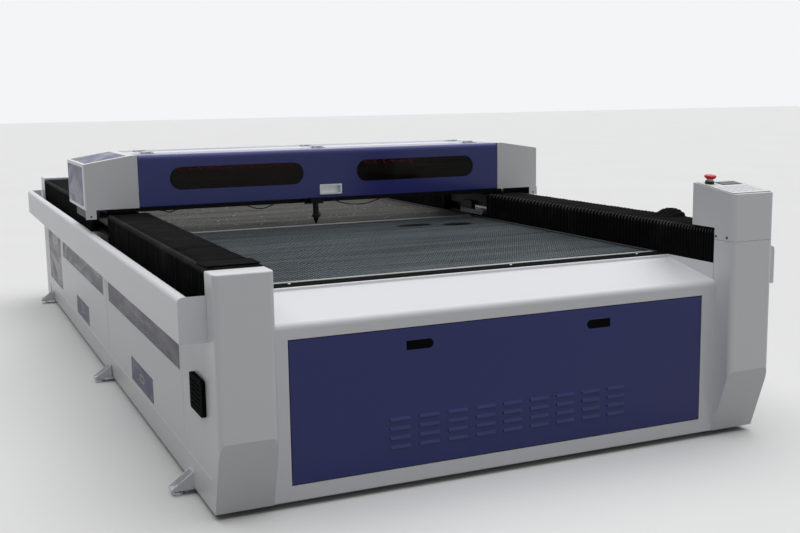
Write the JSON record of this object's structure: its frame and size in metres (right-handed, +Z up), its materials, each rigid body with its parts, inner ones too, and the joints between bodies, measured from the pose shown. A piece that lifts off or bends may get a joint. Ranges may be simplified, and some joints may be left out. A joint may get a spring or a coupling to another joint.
{
  "type": "laser engraving machine",
  "caption": "Large flat-bed laser engraving machine with a honeycomb bed, a windowed gantry on bellows-covered rails, side trays, a louvred scrap door and a control head.",
  "frame": {"origin": "on the floor, under the middle of the machine", "axes": "+Y runs from the scrap door to the back, +X to the side of the control head, +Z up"},
  "size_m": [2.0374, 4.02, 0.9421],
  "materials": {
    "white_paint": "gloss",
    "blue_paint": "gloss",
    "frame_paint": "satin",
    "black_paint": "satin",
    "steel": "brushed",
    "aluminium": "satin",
    "honeycomb": "satin",
    "bellows_cloth": "matte",
    "belt_rubber": "matte",
    "black_plastic": "matte",
    "keypad": "gloss",
    "pale_plastic": "gloss",
    "red_plastic": "gloss",
    "dark_glass": "gloss",
    "tube_glass": "gloss"
  },
  "bodies": {
    "machine": {"frame_long_rails": "frame_paint", "frame_cross_members": "frame_paint", "left_side_skin": "white_paint", "right_side_skin": "white_paint", "front_skin": "white_paint", "rear_skin": "white_paint", "front_left_column": "white_paint", "front_right_column": "white_paint", "rear_columns": "white_paint", "control_head": "white_paint", "keypad_panel": "keypad", "estop_collar": "black_plastic", "left_tray": "white_paint", "right_tray": "white_paint", "side_panels": "blue_paint", "foot_brackets": "white_paint", "levelling_feet": "steel", "honeycomb_panels": "honeycomb", "bed_frame": "black_paint", "bed_front_rail": "black_paint", "y_guide_rails": "steel", "y_belts": "belt_rubber", "y_motor": "black_plastic", "front_left_bellows": "bellows_cloth", "front_right_bellows": "bellows_cloth", "rear_left_bellows": "bellows_cloth", "rear_right_bellows": "bellows_cloth", "filter_cover": "black_plastic"},
    "gantry": {"gantry_beam": "frame_paint", "gantry_left_end": "white_paint", "gantry_right_end": "white_paint", "gantry_top": "white_paint", "gantry_end_panels": "blue_paint", "gantry_feet": "frame_paint", "x_guide_rail": "steel", "x_belt": "belt_rubber", "x_motor": "black_plastic", "mirror_mounts": "aluminium", "laser_tube": "tube_glass", "cable_chain": "black_plastic"},
    "front_cover": {"gantry_front_cover": "blue_paint", "cover_windows": "dark_glass", "cover_handle": "steel"},
    "rear_cover": {"gantry_rear_cover": "blue_paint"},
    "carriage": {"head_carriage": "aluminium"},
    "head": {"laser_head": "black_plastic"},
    "x_drive": {"x_drive_pulley": "steel"},
    "x_idler": {"x_idler_pulley": "steel"},
    "y_drive": {"y_drive_shaft": "steel"},
    "y_idler": {"y_idlers": "steel"},
    "door": {"front_door": "blue_paint"},
    "door_left_latch": {"front_door_left_latch": "black_plastic"},
    "door_right_latch": {"front_door_right_latch": "black_plastic"},
    "hatch_front": {"front_hatch": "blue_paint"},
    "hatch_rear": {"rear_hatch": "blue_paint"},
    "hatch_front_latch": {"front_hatch_latch": "steel"},
    "hatch_rear_latch": {"rear_hatch_latch": "steel"},
    "stop_plunger": {"estop_plunger": "pale_plastic"},
    "stop_cap": {"estop_cap": "red_plastic"}
  },
  "joints": [
    {"name": "gantry_slide", "type": "slide", "parent": "machine", "child": "gantry", "axis": [0, 1, 0], "range_m": [-1.39, 1.61], "deforming": ["front_left_bellows", "front_right_bellows", "rear_left_bellows", "rear_right_bellows"]},
    {"name": "front_cover_hinge", "type": "hinge", "parent": "gantry", "child": "front_cover", "pos_m": [0, -0.225, 0.9381], "axis": [-1, 0, 0], "range_deg": [0, 100]},
    {"name": "rear_cover_hinge", "type": "hinge", "parent": "gantry", "child": "rear_cover", "pos_m": [0, -0.069, 0.9381], "axis": [1, 0, 0], "range_deg": [0, 100]},
    {"name": "head_slide", "type": "slide", "parent": "gantry", "child": "carriage", "axis": [1, 0, 0], "range_m": [-0.708, 0.792]},
    {"name": "focus_slide", "type": "slide", "parent": "carriage", "child": "head", "axis": [0, 0, 1], "range_m": [-0.01, 0.012]},
    {"name": "x_drive_spin", "type": "hinge", "parent": "gantry", "child": "x_drive", "pos_m": [0.77, -0.247, 0.8], "axis": [0, -1, 0], "range_deg": [-2300, 2500]},
    {"name": "x_idler_spin", "type": "hinge", "parent": "gantry", "child": "x_idler", "pos_m": [-0.77, -0.247, 0.8], "axis": [0, -1, 0], "range_deg": [-2300, 2500]},
    {"name": "y_drive_spin", "type": "hinge", "parent": "machine", "child": "y_drive", "pos_m": [0, 1.745, 0.55], "axis": [-1, 0, 0], "range_deg": [-4300, 5000]},
    {"name": "y_idler_spin", "type": "hinge", "parent": "machine", "child": "y_idler", "pos_m": [0, -1.873, 0.55], "axis": [-1, 0, 0], "range_deg": [-4300, 5000]},
    {"name": "door_hinge", "type": "hinge", "parent": "machine", "child": "door", "pos_m": [0, -1.928, 0.0745], "axis": [1, 0, 0], "range_deg": [0, 90]},
    {"name": "door_left_latch_turn", "type": "hinge", "parent": "door", "child": "door_left_latch", "pos_m": [-0.3465, -1.927, 0.434], "axis": [0, 0, -1], "range_deg": [0, 30], "stiffness_Nm_per_rad": 0.05, "springref_deg": -2.86},
    {"name": "door_right_latch_turn", "type": "hinge", "parent": "door", "child": "door_right_latch", "pos_m": [0.3465, -1.927, 0.434], "axis": [0, 0, 1], "range_deg": [0, 30], "stiffness_Nm_per_rad": 0.05, "springref_deg": -2.86},
    {"name": "hatch_front_hinge", "type": "hinge", "parent": "machine", "child": "hatch_front", "pos_m": [-0.9305, -0.934, 0.1335], "axis": [0, -1, 0], "range_deg": [0, 100]},
    {"name": "hatch_front_latch_turn", "type": "hinge", "parent": "hatch_front", "child": "hatch_front_latch", "pos_m": [-0.9295, -0.8975, 0.1705], "axis": [0, 0, -1], "range_deg": [0, 30], "stiffness_Nm_per_rad": 0.05, "springref_deg": -2.86},
    {"name": "hatch_rear_hinge", "type": "hinge", "parent": "machine", "child": "hatch_rear", "pos_m": [-0.9305, 0.508, 0.1335], "axis": [0, -1, 0], "range_deg": [0, 100]},
    {"name": "hatch_rear_latch_turn", "type": "hinge", "parent": "hatch_rear", "child": "hatch_rear_latch", "pos_m": [-0.9295, 0.5445, 0.1705], "axis": [0, 0, -1], "range_deg": [0, 30], "stiffness_Nm_per_rad": 0.05, "springref_deg": -2.86},
    {"name": "stop_press", "type": "slide", "parent": "machine", "child": "stop_plunger", "axis": [0, -0.1281, 0.9918], "range_m": [-0.005, 0], "stiffness_N_per_m": 900, "springref_m": 0.002},
    {"name": "stop_twist", "type": "hinge", "parent": "stop_plunger", "child": "stop_cap", "pos_m": [0.8045, -1.8442, 0.84493], "axis": [0, -0.1281, 0.9918], "range_deg": [-30, 0], "stiffness_Nm_per_rad": 0.05, "springref_deg": 1.15}
  ],
  "couplings": [
    {"joint": "x_drive_spin", "follows": "head_slide", "rad_per_m": 53.333},
    {"joint": "x_idler_spin", "follows": "head_slide", "rad_per_m": 53.333},
    {"joint": "y_drive_spin", "follows": "gantry_slide", "rad_per_m": 53.333},
    {"joint": "y_idler_spin", "follows": "gantry_slide", "rad_per_m": 53.333}
  ]
}
